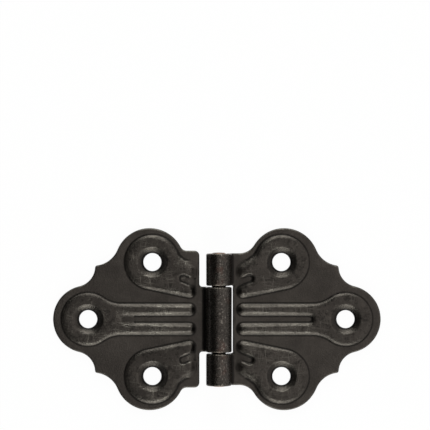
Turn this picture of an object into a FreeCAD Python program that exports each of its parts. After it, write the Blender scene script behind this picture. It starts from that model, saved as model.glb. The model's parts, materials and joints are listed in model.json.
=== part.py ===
import FreeCAD
import Part
import Sketcher

import math
import os

# Butterfly hinge: two stamped leaves, rolled into knuckles at their straight edges, on one pin.
# Frame: X across the leaves, Y along the pin, Z out of the front. The backs lie on Z = 0 and the
# pin's axis stands over the origin. Each leaf is drawn in its own frame with +X pointing away from
# the pin, and the leaf on the -X side is turned half a turn about Z.

# Driving dimensions, in millimetres and degrees.
SIZES = {
    # sheet, pin and barrel
    "sheet_thickness": 1.3,
    "pin_diameter": 3.3,
    "pin_play": 0.05,
    "pin_stand_out": 0.25,
    "pin_end_round": 0.5,
    "middle_knuckle_length": 15.1,
    "end_knuckle_length": 7.45,
    "knuckle_gap": 0.3,
    "bend_radius_center_leaf": 0.8,
    "bend_radius_twin_leaf": 0.35,
    "seam_angle": 302,
    # screw holes, placed from the row of two holes that runs along the pin
    "row_center_leaf": 15.45,
    "row_twin_leaf": 14.55,
    "hole_pitch": 26.5,
    "hole_reach": 14.9,
    "hole_diameter": 4.15,
    "countersink_diameter": 7.9,
    "countersink_angle": 100,
    "mouth_round": 0.8,
    "seat_radius": 3.2,
    # edge of the leaf
    "edge_run_center_leaf": 0.7,
    "edge_run_twin_leaf": 0.1,
    "shoulder_rise_center_leaf": 0.6,
    "shoulder_rise_twin_leaf": 0,
    "neck_radius_center_leaf": 1.5,
    "neck_radius_twin_leaf": 4.0,
    "side_lobe_radius": 8.1,
    "side_lobe_shift": 0.6,
    "side_lobe_drop": 0.2,
    "end_lobe_radius": 7.85,
    "end_lobe_shift": 0.3,
    "cusp_reach": 13.3,
    "cusp_rise": 12.45,
    "inner_hollow_radius": 5.95,
    "outer_hollow_radius": 4.7,
    "cusp_tip_radius": 0.55,
    "shoulder_radius": 1.15,
    "relief_radius": 0.6,
    "rim_round": 0.25,
    # raised pattern, drawn at its foot, highest at the fingers and lowest at its outer end
    "raise_height": 0.85,
    "petal_end_height": 0.3,
    "rib_end_height": 0.3,
    "raise_slope": 45,
    "crest_round": 0.7,
    "foot_round": 0.2,
    "finger_margin": 1.0,
    "finger_corner": 1.25,
    "inner_finger_end": 0.3,
    "outer_finger_end": 0.3,
    "outer_finger_angle": 36,
    "petal_margin": 1.8,
    "petal_waist_radius": 2.0,
    "notch_reach": 3.05,
    "notch_rise": 9.55,
    "notch_radius": 0.85,
    "notch_angle": 22,
    "rib_half_width": 3.6,
    "channel_half_width": 0.87,
    "channel_reach": 6.4,
    "flare_radius": 7.0,
    "end_ring_margin": 1.75,
    # hollows that the stamping leaves in the back
    "hollow_inset": 0.5,
    "hollow_depth": 0.55,
    "hollow_slope": 25,
}

# Sizes that follow from the ones above.
AXIS_HEIGHT = "(Sizes.pin_diameter / 2 + Sizes.pin_play + Sizes.sheet_thickness)"
BARREL_HALF = "(Sizes.middle_knuckle_length / 2 + Sizes.knuckle_gap + Sizes.end_knuckle_length)"
CREST_HEIGHT = "(Sizes.sheet_thickness + Sizes.raise_height)"
PETAL_RING = "(Sizes.side_lobe_radius - Sizes.petal_margin)"
END_RING = "(Sizes.end_lobe_radius - Sizes.end_ring_margin)"
# A finger's two corners stay clear of each other across the finger.
FINGER_CORNER = "min(Sizes.finger_corner; 0.48 * (Sizes.rib_half_width - Sizes.channel_half_width))"

# A sketch numbers the points of a piece from 1 upwards and its own axes from -1 downwards.
START, END, CENTER = range(1, 4)
X_AXIS, Y_AXIS = range(-1, -3, -1)
ORIGIN = (X_AXIS, START)


def make_sheet(doc):
    """Put the driving dimensions on a sheet, one named cell each."""
    sheet = doc.addObject("Spreadsheet::Sheet", "Sizes")
    for row, (name, value) in enumerate(SIZES.items(), start=1):
        sheet.set(f"A{row}", name)
        sheet.set(f"B{row}", str(value))
        sheet.setAlias(f"B{row}", name)
    doc.recompute()
    return sheet


def polar(center, radius, degrees):
    """Point at a distance and a direction from a center."""
    angle = math.radians(degrees)
    return (center[0] + radius * math.cos(angle), center[1] + radius * math.sin(angle))


def direction(start, end):
    """Direction from one point to another, in degrees from 0 to 360."""
    return math.degrees(math.atan2(end[1] - start[1], end[0] - start[0])) % 360


def circle_crossing(first, first_radius, second, second_radius):
    """Point where two circles cross, on the left of the way from the first to the second."""
    across = second[0] - first[0]
    rise = second[1] - first[1]
    span = math.hypot(across, rise)
    along = (first_radius**2 - second_radius**2 + span**2) / (2 * span)
    aside = math.sqrt(first_radius**2 - along**2)
    x = first[0] + (along * across - aside * rise) / span
    y = first[1] + (along * rise + aside * across) / span
    return (x, y)


def tangent_side(first, first_radius, second, second_radius):
    """Direction from two circles' centers to the line that touches both on the left of the way."""
    span = math.dist(first, second)
    return direction(first, second) + math.degrees(math.acos((first_radius - second_radius) / span))


def waist_center(finger, corner, ring, ring_radius, waist, degrees):
    """Center of the arc that hollows the way from a ring to the side of a finger.

    The finger's side slants at an angle and touches the corner about the finger's center. The arc
    touches that side and the ring from outside.
    """
    angle = math.radians(degrees)
    across = ring[0] - finger[0]
    rise = ring[1] - finger[1]
    along = across * math.cos(angle) + rise * math.sin(angle)
    above = rise * math.cos(angle) - across * math.sin(angle)
    aside = corner + waist
    run = along - math.sqrt((ring_radius + waist) ** 2 - (aside - above) ** 2)
    x = finger[0] + run * math.cos(angle) - aside * math.sin(angle)
    y = finger[1] + run * math.sin(angle) + aside * math.cos(angle)
    return (x, y)


class Profile:
    """A sketch whose closed chain of lines and arcs is tied to the sheet.

    A chain runs counter-clockwise. Each piece is kept with the end it starts from and the end it
    leaves by, so that neighbours can be joined, smoothly or at a corner.
    """

    def __init__(self, body, sheet, name, plane, height=None):
        self.sheet = sheet
        self.sketch = body.newObject("Sketcher::SketchObject", name)
        support = [face for face in body.Origin.OriginFeatures if face.Role == plane]
        self.sketch.AttachmentSupport = [(support[0], "")]
        self.sketch.MapMode = "FlatFace"
        if height is not None:
            self.sketch.setExpression("AttachmentOffset.Base.z", height)
        self.chain = []

    def value(self, expression):
        """Value of an expression on the sheet's cells."""
        return float(self.sheet.evalExpression(expression))

    def line(self, start, end):
        """Add a line to the chain."""
        piece = Part.LineSegment(FreeCAD.Vector(*start, 0), FreeCAD.Vector(*end, 0))
        index = self.sketch.addGeometry(piece)
        self.chain.append((index, START, END))
        return index

    def arc(self, center, radius, start, end, bulges=True):
        """Add an arc between two directions, taken counter-clockwise when it bulges outwards."""
        circle = Part.Circle(FreeCAD.Vector(*center, 0), FreeCAD.Vector(0, 0, 1), radius)
        first, last = (start, end) if bulges else (end, start)
        if last <= first:
            last += 360
        piece = Part.ArcOfCircle(circle, math.radians(first), math.radians(last))
        index = self.sketch.addGeometry(piece)
        self.chain.append((index, START, END) if bulges else (index, END, START))
        return index

    def circle(self, center, radius):
        """Add a full circle, outside the chain."""
        piece = Part.Circle(FreeCAD.Vector(*center, 0), FreeCAD.Vector(0, 0, 1), radius)
        return self.sketch.addGeometry(piece)

    def close(self, corners=()):
        """Join the chain end to end, smoothly except after the pieces named as corners."""
        for place, (index, _, leaves) in enumerate(self.chain):
            after, enters, _ = self.chain[(place + 1) % len(self.chain)]
            kind = "Coincident" if index in corners else "Tangent"
            self.hold(kind, index, leaves, after, enters)

    def hold(self, kind, *where):
        """Add a constraint that has no size."""
        self.sketch.addConstraint(Sketcher.Constraint(kind, *where))

    def size(self, kind, *where, cell):
        """Add a constraint whose size follows the sheet."""
        degrees = kind == "Angle"
        value = self.value(cell)
        start = math.radians(value) if degrees else value
        index = self.sketch.addConstraint(Sketcher.Constraint(kind, *where, start))
        self.sketch.setExpression(f"Constraints[{index}]", f"({cell}) * 1 deg" if degrees else cell)

    def place(self, index, point, across=None, up=None):
        """Place a point of one piece at given distances from the origin."""
        if across is not None:
            self.size("DistanceX", *ORIGIN, index, point, cell=across)
        if up is not None:
            self.size("DistanceY", *ORIGIN, index, point, cell=up)


class Leaf:
    """One stamped leaf, drawn in its own frame with +X pointing away from the pin."""

    def __init__(self, doc, sheet, label, variant, bore):
        self.doc = doc
        self.sheet = sheet
        self.body = doc.addObject("PartDesign::Body", label)
        self.bore = bore
        self.outside = f"({bore} + Sizes.sheet_thickness)"
        self.row = f"Sizes.row_{variant}"
        self.bend = f"Sizes.bend_radius_{variant}"
        self.edge = f"({self.outside} + {self.bend} + Sizes.edge_run_{variant})"
        self.finger_start = f"({self.edge} + Sizes.finger_margin)"
        self.neck_radius = f"Sizes.neck_radius_{variant}"
        self.shoulder = f"({BARREL_HALF} + Sizes.shoulder_rise_{variant})"

    def value(self, expression):
        """Value of an expression on the sheet's cells."""
        return float(self.sheet.evalExpression(expression))

    def feature(self, kind, name, profile=None):
        """Add a feature to the body, on a profile if it has one."""
        made = self.body.newObject(f"PartDesign::{kind}", name)
        if profile is not None:
            made.Profile = profile.sketch
        return made

    def blank(self):
        """Pad the upper half of the flat leaf."""
        outline = Profile(self.body, self.sheet, "half_outline", "XY_Plane")
        value = self.value
        row = value(self.row)
        edge = value(self.edge)
        top = value(self.shoulder)
        neck = value(self.neck_radius)
        side_lobe = value("Sizes.side_lobe_radius")
        end_lobe = value("Sizes.end_lobe_radius")
        inner_hollow = value("Sizes.inner_hollow_radius")
        outer_hollow = value("Sizes.outer_hollow_radius")
        side_across = f"{self.row} + Sizes.side_lobe_shift"
        side_up = "Sizes.hole_pitch / 2 - Sizes.side_lobe_drop"
        end_across = f"{self.row} + Sizes.hole_reach + Sizes.end_lobe_shift"
        side = (value(side_across), value(side_up))
        end = (value(end_across), 0)
        cusp = (row + value("Sizes.cusp_reach"), value("Sizes.cusp_rise"))
        inner = circle_crossing(side, side_lobe + inner_hollow, cusp, inner_hollow)
        outer = circle_crossing(cusp, outer_hollow, end, end_lobe + outer_hollow)
        neck_up = top + neck
        neck_across = side[0] - math.sqrt((side_lobe + neck) ** 2 - (neck_up - side[1]) ** 2)
        neck_center = (neck_across, neck_up)

        end_arc = outline.arc(end, end_lobe, 0, direction(end, outer))
        outer_arc = outline.arc(outer, outer_hollow, direction(outer, end), direction(outer, cusp), False)
        inner_arc = outline.arc(inner, inner_hollow, direction(inner, cusp), direction(inner, side), False)
        side_arc = outline.arc(side, side_lobe, direction(side, inner), direction(side, neck_center))
        neck_arc = outline.arc(neck_center, neck, direction(neck_center, side), 270, False)
        top_line = outline.line((neck_across, top), (edge, top))
        edge_line = outline.line((edge, top), (edge, 0))
        middle_line = outline.line((edge, 0), (end[0] + end_lobe, 0))

        outline.close(corners=(outer_arc, top_line, edge_line, middle_line))
        outline.hold("Horizontal", top_line)
        outline.hold("Vertical", edge_line)
        outline.hold("Horizontal", middle_line)
        outline.hold("PointOnObject", middle_line, START, X_AXIS)
        outline.hold("PointOnObject", end_arc, CENTER, X_AXIS)
        outline.place(end_arc, CENTER, across=end_across)
        outline.place(side_arc, CENTER, across=side_across, up=side_up)
        outline.place(outer_arc, START, across=f"{self.row} + Sizes.cusp_reach", up="Sizes.cusp_rise")
        outline.place(edge_line, START, across=self.edge, up=self.shoulder)
        outline.size("Radius", end_arc, cell="Sizes.end_lobe_radius")
        outline.size("Radius", outer_arc, cell="Sizes.outer_hollow_radius")
        outline.size("Radius", inner_arc, cell="Sizes.inner_hollow_radius")
        outline.size("Radius", side_arc, cell="Sizes.side_lobe_radius")
        outline.size("Radius", neck_arc, cell=self.neck_radius)

        pad = self.feature("Pad", "half_blank", outline)
        pad.setExpression("Length", "Sizes.sheet_thickness")
        return pad

    def knuckle(self, start, length):
        """Pad the rolled end of the sheet, from a distance along the pin and towards +Y."""
        section = Profile(self.body, self.sheet, "knuckle_section", "XZ_Plane", f"-({start})")
        value = self.value
        axis = (0, value(AXIS_HEIGHT))
        inside = value(self.bore)
        outside = value(self.outside)
        sheet = value("Sizes.sheet_thickness")
        bend = value(self.bend)
        seam = value("Sizes.seam_angle")
        edge = value(self.edge)
        foot = (outside + bend, sheet + bend)

        bottom_line = section.line((foot[0], 0), (edge, 0))
        root_line = section.line((edge, 0), (edge, sheet))
        top_line = section.line((edge, sheet), (foot[0], sheet))
        fillet_arc = section.arc(foot, bend, 270, 180, False)
        front_line = section.line((outside, foot[1]), (outside, axis[1]))
        outer_arc = section.arc(axis, outside, 0, seam)
        seam_line = section.line(polar(axis, outside, seam), polar(axis, inside, seam))
        bore_arc = section.arc(axis, inside, seam, 0, False)
        back_line = section.line((inside, axis[1]), (inside, foot[1]))
        under_arc = section.arc(foot, bend + sheet, 180, 270)

        section.close(corners=(bottom_line, root_line, outer_arc, seam_line))
        section.hold("Horizontal", bottom_line)
        section.hold("PointOnObject", bottom_line, START, X_AXIS)
        section.hold("Vertical", root_line)
        section.hold("Horizontal", top_line)
        section.hold("Vertical", front_line)
        section.hold("Vertical", back_line)
        section.hold("PointOnObject", outer_arc, CENTER, Y_AXIS)
        section.hold("Coincident", bore_arc, CENTER, outer_arc, CENTER)
        section.hold("Coincident", under_arc, CENTER, fillet_arc, CENTER)
        section.hold("PointOnObject", outer_arc, CENTER, seam_line)
        section.size("Angle", seam_line, cell="Sizes.seam_angle - 180")
        section.place(outer_arc, CENTER, up=AXIS_HEIGHT)
        section.place(root_line, START, across=self.edge)
        section.size("Radius", outer_arc, cell=self.outside)
        section.size("Radius", bore_arc, cell=self.bore)
        section.size("Radius", fillet_arc, cell=self.bend)

        pad = self.feature("Pad", "knuckle", section)
        pad.setExpression("Length", length)
        pad.Reversed = True
        return pad

    def petal_profile(self, name, height, inset):
        """Draw the foot of the upper petal, or a line a distance inside it."""
        petal = Profile(self.body, self.sheet, name, "XY_Plane", height)
        value = self.value
        gap = value(inset)
        start = value(self.finger_start)
        corner = value(FINGER_CORNER)
        ring = (value(self.row), value("Sizes.hole_pitch / 2"))
        ring_radius = value(PETAL_RING)
        notch_angle = value("Sizes.notch_angle")
        notch_radius = value("Sizes.notch_radius")
        waist_radius = value("Sizes.petal_waist_radius")
        finger_angle = value("Sizes.outer_finger_angle")
        notch_across = f"{self.finger_start} + Sizes.notch_reach"
        notch = (value(notch_across), value("Sizes.notch_rise"))
        corner_across = start + corner
        lean = math.radians(notch_angle)
        sideways = (corner_across - notch[0]) * math.sin(lean)
        offset = notch_radius + corner
        below_up = notch[1] + (sideways - offset) / math.cos(lean)
        above_up = notch[1] + (sideways + offset) / math.cos(lean)
        lower_up = below_up - value("Sizes.inner_finger_end")
        upper_up = above_up + value("Sizes.outer_finger_end")
        lower = (corner_across, lower_up)
        below = (corner_across, below_up)
        above = (corner_across, above_up)
        upper = (corner_across, upper_up)
        rounded = corner - gap
        widened = notch_radius + gap
        end_across = start + gap
        above_side = 90 + notch_angle
        below_side = 270 + notch_angle
        inner_side = tangent_side(ring, ring_radius, lower, corner)
        outer_side = 90 + finger_angle
        waist_side = 270 + finger_angle
        waist = waist_center(upper, corner, ring, ring_radius, waist_radius, finger_angle)

        petal.line(polar(lower, rounded, inner_side), polar(ring, ring_radius - gap, inner_side))
        ring_arc = petal.arc(ring, ring_radius - gap, inner_side, direction(ring, waist))
        waist_arc = petal.arc(waist, waist_radius + gap, direction(waist, ring), waist_side, False)
        waist_end = polar(waist, waist_radius + gap, waist_side)
        outer_line = petal.line(waist_end, polar(upper, rounded, outer_side))
        upper_arc = petal.arc(upper, rounded, outer_side, 180)
        outer_end = petal.line((end_across, upper_up), (end_across, above_up))
        above_arc = petal.arc(above, rounded, 180, below_side)
        notch_top = petal.line(polar(above, rounded, below_side), polar(notch, widened, above_side))
        notch_arc = petal.arc(notch, widened, above_side, below_side, False)
        notch_bottom = petal.line(polar(notch, widened, below_side), polar(below, rounded, above_side))
        below_arc = petal.arc(below, rounded, above_side, 180)
        inner_end = petal.line((end_across, below_up), (end_across, lower_up))
        lower_arc = petal.arc(lower, rounded, 180, inner_side)

        petal.close()
        petal.hold("Vertical", outer_end)
        petal.hold("Vertical", inner_end)
        petal.hold("Parallel", notch_top, notch_bottom)
        petal.size("Angle", notch_top, cell="Sizes.notch_angle")
        petal.size("Angle", outer_line, cell="Sizes.outer_finger_angle - 180")
        petal.place(outer_end, START, across=f"{self.finger_start} + {inset}")
        petal.place(inner_end, START, across=f"{self.finger_start} + {inset}")
        petal.size("DistanceY", outer_end, END, outer_end, START, cell="Sizes.outer_finger_end")
        petal.size("DistanceY", inner_end, END, inner_end, START, cell="Sizes.inner_finger_end")
        petal.place(ring_arc, CENTER, across=self.row, up="Sizes.hole_pitch / 2")
        petal.place(notch_arc, CENTER, across=notch_across, up="Sizes.notch_rise")
        petal.size("Radius", ring_arc, cell=f"{PETAL_RING} - {inset}")
        petal.size("Radius", waist_arc, cell=f"Sizes.petal_waist_radius + {inset}")
        petal.size("Radius", notch_arc, cell=f"Sizes.notch_radius + {inset}")
        for corner_arc in (upper_arc, above_arc, below_arc, lower_arc):
            petal.size("Radius", corner_arc, cell=f"{FINGER_CORNER} - {inset}")
        return petal

    def rib_profile(self, name, height, inset):
        """Draw the foot of the forked rib and the ring at its end, or a line inside it."""
        rib = Profile(self.body, self.sheet, name, "XY_Plane", height)
        value = self.value
        gap = value(inset)
        row = value(self.row)
        start = value(self.finger_start)
        corner = value(FINGER_CORNER)
        half = value("Sizes.rib_half_width")
        channel = value("Sizes.channel_half_width")
        flare = value("Sizes.flare_radius")
        ring_radius = value(END_RING)
        ring_across = f"{self.row} + Sizes.hole_reach"
        ring = (value(ring_across), 0)
        slot = (row + value("Sizes.channel_reach"), 0)
        flare_across = ring[0] - math.sqrt((ring_radius + flare) ** 2 - (half + flare) ** 2)
        upper_flare = (flare_across, half + flare)
        lower_flare = (flare_across, -half - flare)
        corner_across = start + corner
        rounded = corner - gap
        end_across = start + gap
        side_up = half - gap
        slot_up = channel + gap
        to_upper = direction(ring, upper_flare)
        to_lower = direction(ring, lower_flare)

        ring_arc = rib.arc(ring, ring_radius - gap, to_lower, to_upper)
        upper_flare_arc = rib.arc(upper_flare, flare + gap, direction(upper_flare, ring), 270, False)
        upper_line = rib.line((flare_across, side_up), (corner_across, side_up))
        upper_outer = rib.arc((corner_across, half - corner), rounded, 90, 180)
        upper_end = rib.line((end_across, half - corner), (end_across, channel + corner))
        upper_inner = rib.arc((corner_across, channel + corner), rounded, 180, 270)
        slot_top = rib.line((corner_across, slot_up), (slot[0], slot_up))
        slot_arc = rib.arc(slot, slot_up, 90, 270, False)
        slot_bottom = rib.line((slot[0], -slot_up), (corner_across, -slot_up))
        lower_inner = rib.arc((corner_across, -channel - corner), rounded, 90, 180)
        lower_end = rib.line((end_across, -channel - corner), (end_across, corner - half))
        lower_outer = rib.arc((corner_across, corner - half), rounded, 180, 270)
        lower_line = rib.line((corner_across, -side_up), (flare_across, -side_up))
        lower_flare_arc = rib.arc(lower_flare, flare + gap, 90, direction(lower_flare, ring), False)

        rib.close()
        for level in (upper_line, slot_top, slot_bottom, lower_line):
            rib.hold("Horizontal", level)
        for end in (upper_end, lower_end):
            rib.hold("Vertical", end)
            rib.place(end, START, across=f"{self.finger_start} + {inset}")
        rib.hold("PointOnObject", ring_arc, CENTER, X_AXIS)
        rib.hold("PointOnObject", slot_arc, CENTER, X_AXIS)
        rib.place(ring_arc, CENTER, across=ring_across)
        rib.place(slot_arc, CENTER, across=f"{self.row} + Sizes.channel_reach")
        rib.place(upper_line, START, up=f"Sizes.rib_half_width - {inset}")
        rib.size("DistanceY", lower_line, END, *ORIGIN, cell=f"Sizes.rib_half_width - {inset}")
        rib.size("Radius", ring_arc, cell=f"{END_RING} - {inset}")
        rib.size("Radius", slot_arc, cell=f"Sizes.channel_half_width + {inset}")
        for flare_arc in (upper_flare_arc, lower_flare_arc):
            rib.size("Radius", flare_arc, cell=f"Sizes.flare_radius + {inset}")
        for corner_arc in (upper_outer, upper_inner, lower_inner, lower_outer):
            rib.size("Radius", corner_arc, cell=f"{FINGER_CORNER} - {inset}")
        return rib

    def raise_front(self, name, profile):
        """Pad a sloped raised area on the front."""
        pad = self.feature("Pad", name, profile)
        pad.setExpression("Length", "Sizes.raise_height")
        pad.setExpression("TaperAngle", "-Sizes.raise_slope")
        return pad

    def slope_crest(self, name, far, height):
        """Cut the crest of a raised area to a slope that falls to a height at its far end."""
        wedge = Profile(self.body, self.sheet, f"{name}_wedge", "XZ_Plane")
        above = f"{CREST_HEIGHT} + Sizes.raise_height"
        low = f"Sizes.sheet_thickness + {height}"
        near_across = self.value(self.finger_start)
        far_across = self.value(far)
        near_start = (near_across, self.value(CREST_HEIGHT))
        far_start = (far_across, self.value(low))
        far_end = (far_across, self.value(above))
        near_end = (near_across, self.value(above))
        slope_line = wedge.line(near_start, far_start)
        far_line = wedge.line(far_start, far_end)
        top_line = wedge.line(far_end, near_end)
        near_line = wedge.line(near_end, near_start)
        wedge.close(corners=(slope_line, far_line, top_line, near_line))
        wedge.hold("Vertical", far_line)
        wedge.hold("Horizontal", top_line)
        wedge.hold("Vertical", near_line)
        wedge.place(slope_line, START, across=self.finger_start, up=CREST_HEIGHT)
        wedge.place(slope_line, END, across=far, up=low)
        wedge.place(top_line, START, up=above)
        pocket = self.feature("Pocket", name, wedge)
        pocket.Type = "ThroughAll"
        pocket.SideType = "Symmetric"
        return pocket

    def hollow_back(self, name, profile):
        """Pocket a sloped hollow into the back."""
        pocket = self.feature("Pocket", name, profile)
        pocket.Reversed = True
        pocket.setExpression("Length", "Sizes.hollow_depth")
        pocket.setExpression("TaperAngle", "-Sizes.hollow_slope")
        return pocket

    def hole_circles(self, name, height, diameter):
        """Draw a circle at each of the three screw holes."""
        holes = Profile(self.body, self.sheet, name, "XY_Plane", height)
        half_pitch = "Sizes.hole_pitch / 2"
        reach = f"{self.row} + Sizes.hole_reach"
        radius = self.value(diameter) / 2
        row = self.value(self.row)
        rise = self.value(half_pitch)
        upper = holes.circle((row, rise), radius)
        lower = holes.circle((row, -rise), radius)
        outer = holes.circle((self.value(reach), 0), radius)
        holes.place(upper, CENTER, across=self.row, up=half_pitch)
        holes.place(lower, CENTER, across=self.row)
        holes.size("DistanceY", lower, CENTER, *ORIGIN, cell=half_pitch)
        holes.hold("PointOnObject", outer, CENTER, X_AXIS)
        holes.place(outer, CENTER, across=reach)
        for circle in (upper, lower, outer):
            holes.size("Diameter", circle, cell=diameter)
        return holes

    def screw_seats(self):
        """Bring the back down to the mounting face around each screw hole."""
        seats = self.hole_circles("seat_circles", None, "2 * Sizes.seat_radius")
        pad = self.feature("Pad", "screw_seats", seats)
        pad.setExpression("Length", "Sizes.hollow_depth")
        pad.setExpression("TaperAngle", "Sizes.hollow_slope")

    def screw_holes(self):
        """Drill and countersink the three screw holes from the front."""
        centers = self.hole_circles("hole_centers", CREST_HEIGHT, "Sizes.hole_diameter")
        self.doc.recompute()
        hole = self.feature("Hole", "screw_holes", centers)
        hole.DepthType = "ThroughAll"
        hole.HoleCutType = "Countersink"
        hole.HoleCutCustomValues = True
        hole.setExpression("Diameter", "Sizes.hole_diameter")
        hole.setExpression("HoleCutDiameter", "Sizes.countersink_diameter")
        hole.setExpression("HoleCutCountersinkAngle", "Sizes.countersink_angle")

    def mirror(self, originals):
        """Mirror the upper half onto the lower half."""
        mirrored = self.feature("Mirrored", "both_halves")
        plane = [face for face in self.body.Origin.OriginFeatures if face.Role == "XZ_Plane"]
        mirrored.Originals = originals
        mirrored.MirrorPlane = (plane[0], [""])
        self.body.Tip = mirrored

    def round_edges(self, name, radius, chosen):
        """Round the edges that a test picks."""
        self.doc.recompute()
        tip = self.body.Tip
        shape = tip.Shape
        picked = [f"Edge{place}" for place, edge in enumerate(shape.Edges, start=1) if chosen(shape, edge)]
        fillet = self.feature("Fillet", name)
        fillet.Base = (tip, picked)
        fillet.setExpression("Radius", radius)

    def is_crest_edge(self, shape, edge):
        """Tell if an edge bounds one of the sloping crests of the raised pattern."""
        sheet = self.value("Sizes.sheet_thickness")
        for face in shape.ancestorsOfType(edge, Part.Face):
            if isinstance(face.Surface, Part.Plane):
                if abs(face.Surface.Axis.z) > 0.9 and face.CenterOfMass.z > sheet + 0.05:
                    return True
        return False

    def round_crests(self):
        """Round the crests of the raised pattern."""
        self.round_edges("crest_rounds", "Sizes.crest_round", self.is_crest_edge)

    def round_mouths(self):
        """Round the mouths of the countersinks, the closed edges that the holes leave in the crests."""

        def is_mouth(shape, edge):
            return edge.isClosed() and self.is_crest_edge(shape, edge)

        self.round_edges("mouth_rounds", "Sizes.mouth_round", is_mouth)

    def round_feet(self):
        """Round the foot of the raised pattern, where its slopes meet the flat."""
        sheet = self.value("Sizes.sheet_thickness")
        slope = math.sin(math.radians(self.value("Sizes.raise_slope")))

        def is_foot(shape, edge):
            return lies_at(edge, sheet) and abs(steepest(shape, edge) - slope) < 0.05

        self.round_edges("foot_rounds", "Sizes.foot_round", is_foot)

    def round_rim(self):
        """Round the front of the leaf's cut edge."""
        sheet = self.value("Sizes.sheet_thickness")

        def is_rim(shape, edge):
            return lies_at(edge, sheet) and steepest(shape, edge) < 0.01

        self.round_edges("rim_rounds", "Sizes.rim_round", is_rim)

    def round_corner(self, name, radius, across, up):
        """Round the upright edges of the outline at one place above the middle and one below."""
        place = (self.value(across), self.value(up))

        def is_corner(shape, edge):
            box = edge.BoundBox
            off = abs(box.XMin - place[0]) + abs(box.XMax - place[0])
            off += abs(abs(box.YMin) - place[1]) + abs(abs(box.YMax) - place[1])
            return box.ZLength > 0.1 and off < 1e-3

        self.round_edges(name, radius, is_corner)

    def round_cusps(self):
        """Blunt the tips of the cusps."""
        across = f"{self.row} + Sizes.cusp_reach"
        self.round_corner("cusp_tips", "Sizes.cusp_tip_radius", across, "Sizes.cusp_rise")

    def round_shoulders(self):
        """Round the free corners of the straight edge and the corners beside the knuckle."""
        self.round_corner("shoulders", "Sizes.shoulder_radius", self.edge, self.shoulder)
        self.round_corner("reliefs", "Sizes.relief_radius", self.edge, "Sizes.middle_knuckle_length / 2")


def lies_at(edge, level):
    """Tell if an edge lies flat at one height."""
    box = edge.BoundBox
    return abs(box.ZMin - level) < 1e-4 and abs(box.ZMax - level) < 1e-4


def steepest(shape, edge):
    """Least upright part of the normals of the faces at an edge: 0 for a wall, 1 for a flat."""
    point = edge.valueAt((edge.FirstParameter + edge.LastParameter) / 2)
    upright = []
    for face in shape.ancestorsOfType(edge, Part.Face):
        normal = face.normalAt(*face.Surface.parameter(point))
        upright.append(abs(normal.z))
    return min(upright)


def build_pin(doc, sheet):
    """Revolve the pin, with rounded ends, about the barrel's axis."""
    body = doc.addObject("PartDesign::Body", "hinge_pin")
    profile = Profile(body, sheet, "pin_half_section", "XY_Plane")
    half_cell = f"{BARREL_HALF} + Sizes.pin_stand_out"
    half = profile.value(half_cell)
    radius = profile.value("Sizes.pin_diameter / 2")
    rounding = profile.value("Sizes.pin_end_round")
    shoulder = radius - rounding
    level = half - rounding

    lower_end = profile.line((0, -half), (shoulder, -half))
    lower_arc = profile.arc((shoulder, -level), rounding, 270, 0)
    side = profile.line((radius, -level), (radius, level))
    upper_arc = profile.arc((shoulder, level), rounding, 0, 90)
    upper_end = profile.line((shoulder, half), (0, half))
    axis = profile.line((0, half), (0, -half))
    profile.close(corners=(upper_end, axis))
    profile.hold("Horizontal", lower_end)
    profile.hold("Vertical", side)
    profile.hold("Horizontal", upper_end)
    profile.hold("PointOnObject", upper_end, END, Y_AXIS)
    profile.hold("PointOnObject", lower_end, START, Y_AXIS)
    profile.place(upper_end, END, up=half_cell)
    profile.size("DistanceY", lower_end, START, *ORIGIN, cell=half_cell)
    profile.place(side, START, across="Sizes.pin_diameter / 2")
    profile.size("Radius", lower_arc, cell="Sizes.pin_end_round")
    profile.size("Radius", upper_arc, cell="Sizes.pin_end_round")

    turned = body.newObject("PartDesign::Revolution", "turned_pin")
    turned.Profile = profile.sketch
    turned.ReferenceAxis = (profile.sketch, ["V_Axis"])
    body.setExpression("Placement.Base.z", AXIS_HEIGHT)
    return body


def build_leaf(doc, sheet, label, variant, bore, start, length, free_shoulders):
    """Build one leaf with the knuckle or knuckles that belong to it.

    The shoulders are the ends of the straight edge. They are free where no knuckle is rolled there.
    """
    leaf = Leaf(doc, sheet, label, variant, bore)
    blank = leaf.blank()
    knuckle = leaf.knuckle(start, length)
    petal = leaf.petal_profile("petal_foot", "Sizes.sheet_thickness", "0")
    raised = leaf.raise_front("petal", petal)
    petal_end = f"{leaf.row} + {PETAL_RING}"
    sloped = leaf.slope_crest("petal_crest", petal_end, "Sizes.petal_end_height")
    petal_back = leaf.petal_profile("petal_hollow_edge", None, "Sizes.hollow_inset")
    hollow = leaf.hollow_back("petal_hollow", petal_back)
    leaf.mirror([blank, knuckle, raised, sloped, hollow])
    rib = leaf.rib_profile("rib_foot", "Sizes.sheet_thickness", "0")
    leaf.raise_front("rib", rib)
    rib_end = f"{leaf.row} + Sizes.hole_reach + {END_RING}"
    leaf.slope_crest("rib_crest", rib_end, "Sizes.rib_end_height")
    rib_back = leaf.rib_profile("rib_hollow_edge", None, "Sizes.hollow_inset")
    leaf.hollow_back("rib_hollow", rib_back)
    leaf.screw_seats()
    leaf.round_cusps()
    if free_shoulders:
        leaf.round_shoulders()
    leaf.round_feet()
    leaf.round_crests()
    leaf.screw_holes()
    leaf.round_mouths()
    leaf.round_rim()
    return leaf


def check(doc):
    """Stop if any feature failed or any body has no sound shape."""
    doc.recompute()
    for item in doc.Objects:
        if {"Invalid", "Error"} & set(item.State):
            raise RuntimeError(f"{item.Name} did not build: {item.State}")
    for item in doc.Objects:
        if item.TypeId == "PartDesign::Body" and (item.Shape.isNull() or not item.Shape.isValid()):
            raise RuntimeError(f"{item.Label} has no sound shape")


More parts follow.
